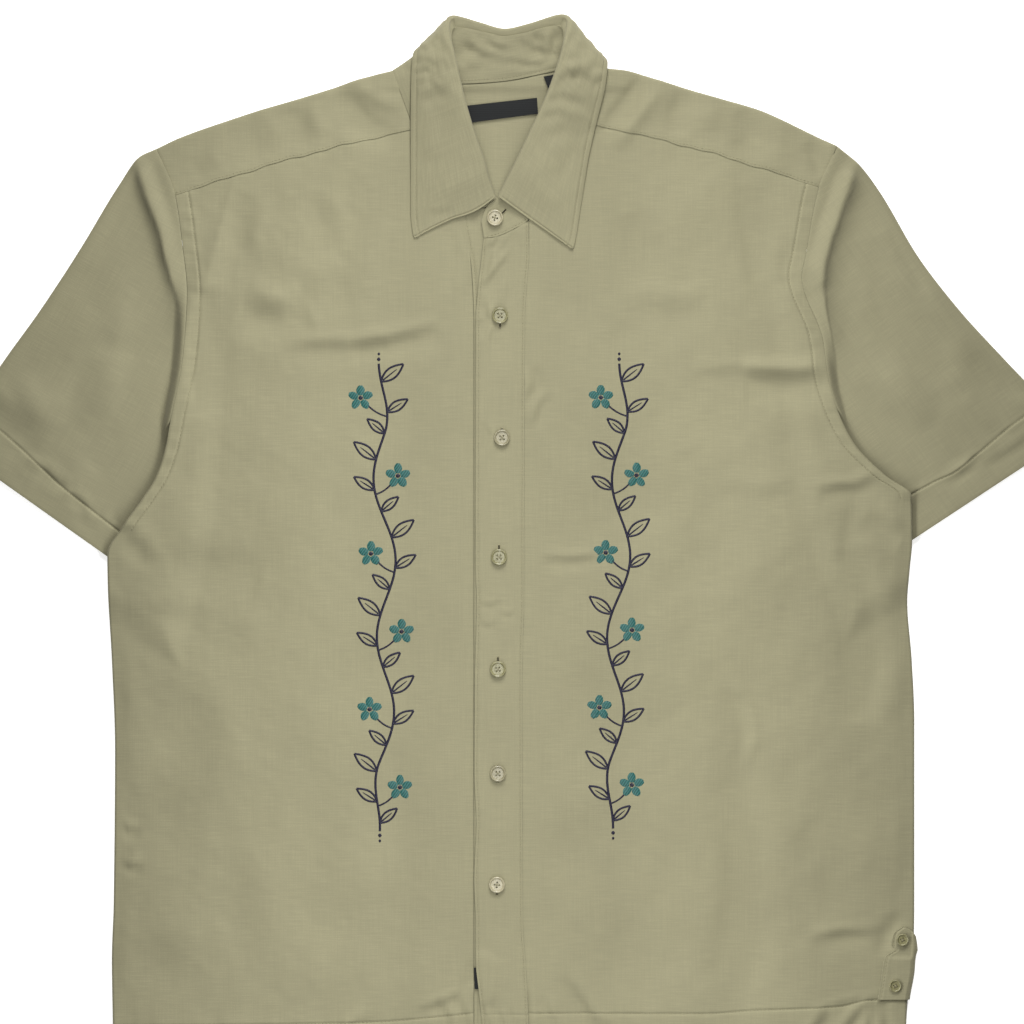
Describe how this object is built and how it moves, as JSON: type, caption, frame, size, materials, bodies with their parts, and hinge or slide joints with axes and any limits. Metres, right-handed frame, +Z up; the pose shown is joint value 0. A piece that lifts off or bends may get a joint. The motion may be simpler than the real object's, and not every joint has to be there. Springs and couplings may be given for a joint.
{
  "type": "hawaiian shirt",
  "caption": "Short-sleeved button-front shirt in slubby linen lying flat, with a point collar, a back yoke, a front placket and a buttoned side vent tab",
  "frame": {"origin": "on the table, under the middle of the laid-out shirt", "axes": "+X is the wearer's left, +Y runs up the shirt to the collar, +Z is up, away from the table and out of the shirt's front"},
  "size_m": [0.8764, 0.8039, 0.0188],
  "materials": {
    "sage_linen": "plain-woven linen and rayon with slubs",
    "charcoal_label": "close-woven tape",
    "cream_button": "polished, softly marbled"
  },
  "bodies": {
    "root": {"back": "sage_linen", "yoke": "sage_linen", "front_right": "sage_linen", "front_left": "sage_linen", "sleeve_right": "sage_linen", "sleeve_left": "sage_linen", "button_stand": "sage_linen", "placket": "sage_linen", "collar_stand": "sage_linen", "collar_fall": "sage_linen", "vent_tab": "sage_linen", "neck_label": "charcoal_label", "size_tab": "charcoal_label", "care_tag": "charcoal_label", "button_1": "cream_button", "button_2": "cream_button", "button_3": "cream_button", "button_4": "cream_button", "button_5": "cream_button", "button_6": "cream_button", "button_7": "cream_button", "vent_button_upper": "cream_button", "vent_button_lower": "cream_button"}
  },
  "joints": []
}
